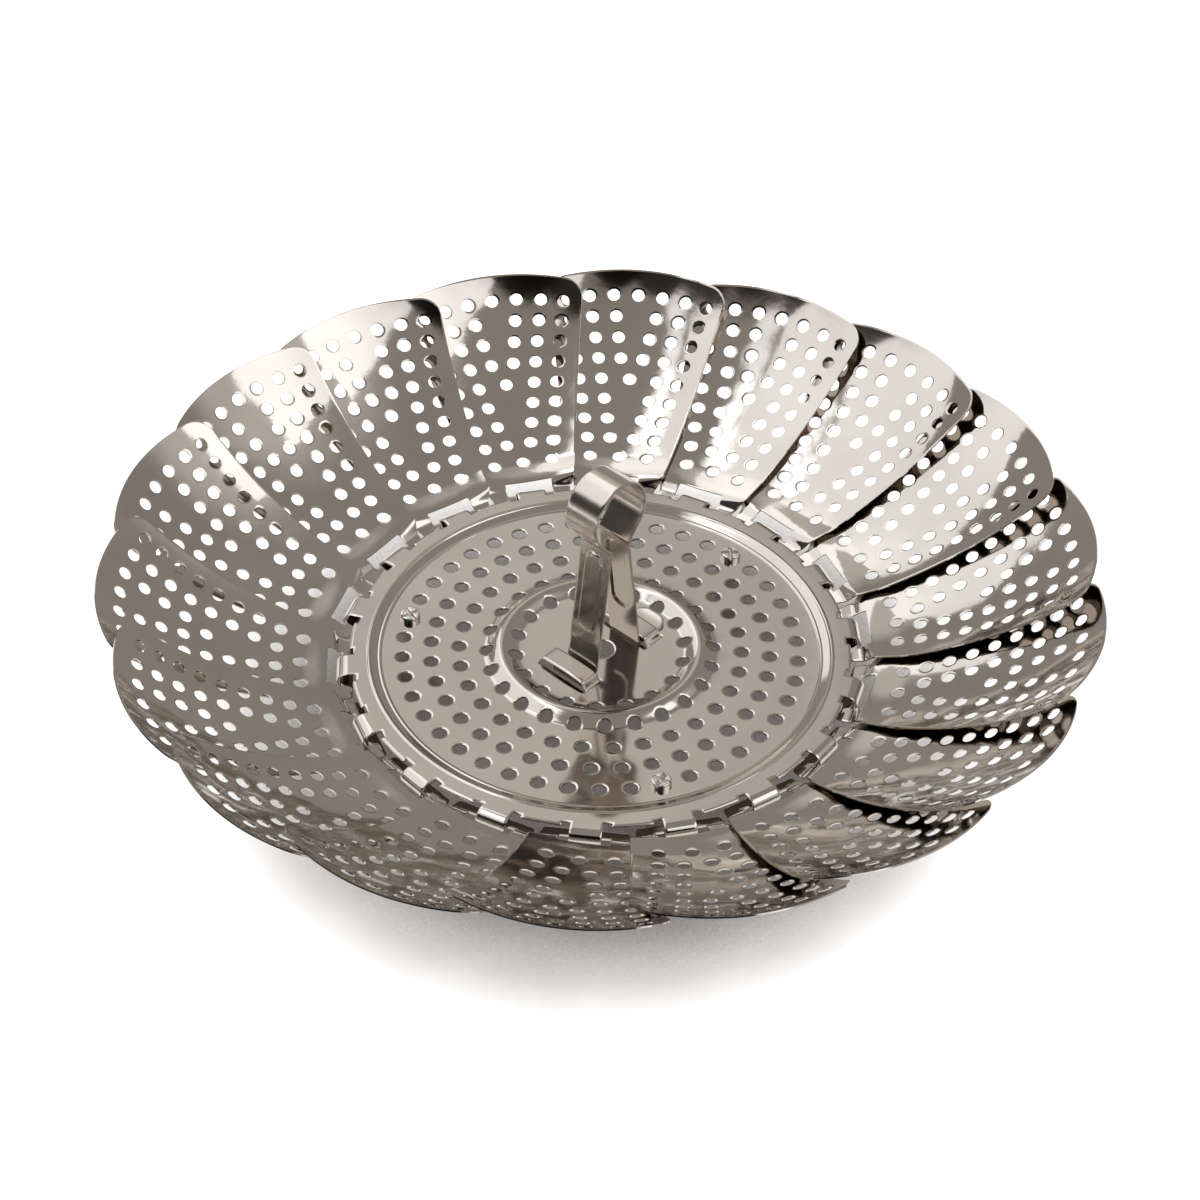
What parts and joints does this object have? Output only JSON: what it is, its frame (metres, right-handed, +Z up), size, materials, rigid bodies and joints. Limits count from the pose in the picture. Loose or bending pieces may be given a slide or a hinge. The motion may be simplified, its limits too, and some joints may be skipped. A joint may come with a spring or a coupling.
{
  "type": "steamer basket",
  "caption": "Expanding perforated steel steamer basket: round base plate on short legs, overlapping hinged petals that fold up together, and a sprung strip handle.",
  "frame": {"origin": "on the basket's axis at the height of the feet", "axes": "+Z up; +X points over leg_1 and the first petal's hinge; the handle's loop is seen as a ring along Y"},
  "size_m": [0.224, 0.2222, 0.0711],
  "materials": {
    "plate_steel": "polished stainless sheet",
    "petal_steel": "polished stainless sheet",
    "handle_steel": "polished stainless strip",
    "leg_steel": "turned stainless bar"
  },
  "bodies": {
    "basket": {"base_plate": "plate_steel", "handle": "handle_steel", "leg_1": "leg_steel", "leg_2": "leg_steel", "leg_3": "leg_steel"},
    "petal_01": {"petal_01": "petal_steel"},
    "petal_02": {"petal_02": "petal_steel"},
    "petal_03": {"petal_03": "petal_steel"},
    "petal_04": {"petal_04": "petal_steel"},
    "petal_05": {"petal_05": "petal_steel"},
    "petal_06": {"petal_06": "petal_steel"},
    "petal_07": {"petal_07": "petal_steel"},
    "petal_08": {"petal_08": "petal_steel"},
    "petal_09": {"petal_09": "petal_steel"},
    "petal_10": {"petal_10": "petal_steel"},
    "petal_11": {"petal_11": "petal_steel"},
    "petal_12": {"petal_12": "petal_steel"},
    "petal_13": {"petal_13": "petal_steel"},
    "petal_14": {"petal_14": "petal_steel"},
    "petal_15": {"petal_15": "petal_steel"},
    "petal_16": {"petal_16": "petal_steel"},
    "petal_17": {"petal_17": "petal_steel"},
    "petal_18": {"petal_18": "petal_steel"}
  },
  "joints": [
    {"name": "petal_01_fold", "type": "hinge", "parent": "basket", "child": "petal_01", "pos_m": [0.0582, 0, 0.01933], "axis": [-0.0732, -0.9973, 0], "range_deg": [0, 75]},
    {"name": "petal_02_fold", "type": "hinge", "parent": "basket", "child": "petal_02", "pos_m": [0.05469, 0.01991, 0.01933], "axis": [0.2723, -0.9622, 0], "range_deg": [0, 75]},
    {"name": "petal_03_fold", "type": "hinge", "parent": "basket", "child": "petal_03", "pos_m": [0.04458, 0.03741, 0.01933], "axis": [0.585, -0.8111, 0], "range_deg": [0, 75]},
    {"name": "petal_04_fold", "type": "hinge", "parent": "basket", "child": "petal_04", "pos_m": [0.0291, 0.0504, 0.01933], "axis": [0.8271, -0.5621, 0], "range_deg": [0, 75]},
    {"name": "petal_05_fold", "type": "hinge", "parent": "basket", "child": "petal_05", "pos_m": [0.01011, 0.05732, 0.01933], "axis": [0.9694, -0.2453, 0], "range_deg": [0, 75]},
    {"name": "petal_06_fold", "type": "hinge", "parent": "basket", "child": "petal_06", "pos_m": [-0.01011, 0.05732, 0.01933], "axis": [0.9949, 0.1011, 0], "range_deg": [0, 75]},
    {"name": "petal_07_fold", "type": "hinge", "parent": "basket", "child": "petal_07", "pos_m": [-0.0291, 0.0504, 0.01933], "axis": [0.9003, 0.4352, 0], "range_deg": [0, 75]},
    {"name": "petal_08_fold", "type": "hinge", "parent": "basket", "child": "petal_08", "pos_m": [-0.04458, 0.03741, 0.01933], "axis": [0.6972, 0.7169, 0], "range_deg": [0, 75]},
    {"name": "petal_09_fold", "type": "hinge", "parent": "basket", "child": "petal_09", "pos_m": [-0.05469, 0.01991, 0.01933], "axis": [0.4099, 0.9121, 0], "range_deg": [0, 75]},
    {"name": "petal_10_fold", "type": "hinge", "parent": "basket", "child": "petal_10", "pos_m": [-0.0582, 0, 0.01933], "axis": [0.0732, 0.9973, 0], "range_deg": [0, 75]},
    {"name": "petal_11_fold", "type": "hinge", "parent": "basket", "child": "petal_11", "pos_m": [-0.05469, -0.01991, 0.01933], "axis": [-0.2723, 0.9622, 0], "range_deg": [0, 75]},
    {"name": "petal_12_fold", "type": "hinge", "parent": "basket", "child": "petal_12", "pos_m": [-0.04458, -0.03741, 0.01933], "axis": [-0.585, 0.8111, 0], "range_deg": [0, 75]},
    {"name": "petal_13_fold", "type": "hinge", "parent": "basket", "child": "petal_13", "pos_m": [-0.0291, -0.0504, 0.01933], "axis": [-0.8271, 0.5621, 0], "range_deg": [0, 75]},
    {"name": "petal_14_fold", "type": "hinge", "parent": "basket", "child": "petal_14", "pos_m": [-0.01011, -0.05732, 0.01933], "axis": [-0.9694, 0.2453, 0], "range_deg": [0, 75]},
    {"name": "petal_15_fold", "type": "hinge", "parent": "basket", "child": "petal_15", "pos_m": [0.01011, -0.05732, 0.01933], "axis": [-0.9949, -0.1011, 0], "range_deg": [0, 75]},
    {"name": "petal_16_fold", "type": "hinge", "parent": "basket", "child": "petal_16", "pos_m": [0.0291, -0.0504, 0.01933], "axis": [-0.9003, -0.4352, 0], "range_deg": [0, 75]},
    {"name": "petal_17_fold", "type": "hinge", "parent": "basket", "child": "petal_17", "pos_m": [0.04458, -0.03741, 0.01933], "axis": [-0.6972, -0.7169, 0], "range_deg": [0, 75]},
    {"name": "petal_18_fold", "type": "hinge", "parent": "basket", "child": "petal_18", "pos_m": [0.05469, -0.01991, 0.01933], "axis": [-0.4099, -0.9121, 0], "range_deg": [0, 75]}
  ],
  "couplings": [
    {"joint": "petal_02_fold", "follows": "petal_01_fold", "ratio": 1},
    {"joint": "petal_03_fold", "follows": "petal_01_fold", "ratio": 1},
    {"joint": "petal_04_fold", "follows": "petal_01_fold", "ratio": 1},
    {"joint": "petal_05_fold", "follows": "petal_01_fold", "ratio": 1},
    {"joint": "petal_06_fold", "follows": "petal_01_fold", "ratio": 1},
    {"joint": "petal_07_fold", "follows": "petal_01_fold", "ratio": 1},
    {"joint": "petal_08_fold", "follows": "petal_01_fold", "ratio": 1},
    {"joint": "petal_09_fold", "follows": "petal_01_fold", "ratio": 1},
    {"joint": "petal_10_fold", "follows": "petal_01_fold", "ratio": 1},
    {"joint": "petal_11_fold", "follows": "petal_01_fold", "ratio": 1},
    {"joint": "petal_12_fold", "follows": "petal_01_fold", "ratio": 1},
    {"joint": "petal_13_fold", "follows": "petal_01_fold", "ratio": 1},
    {"joint": "petal_14_fold", "follows": "petal_01_fold", "ratio": 1},
    {"joint": "petal_15_fold", "follows": "petal_01_fold", "ratio": 1},
    {"joint": "petal_16_fold", "follows": "petal_01_fold", "ratio": 1},
    {"joint": "petal_17_fold", "follows": "petal_01_fold", "ratio": 1},
    {"joint": "petal_18_fold", "follows": "petal_01_fold", "ratio": 1}
  ]
}
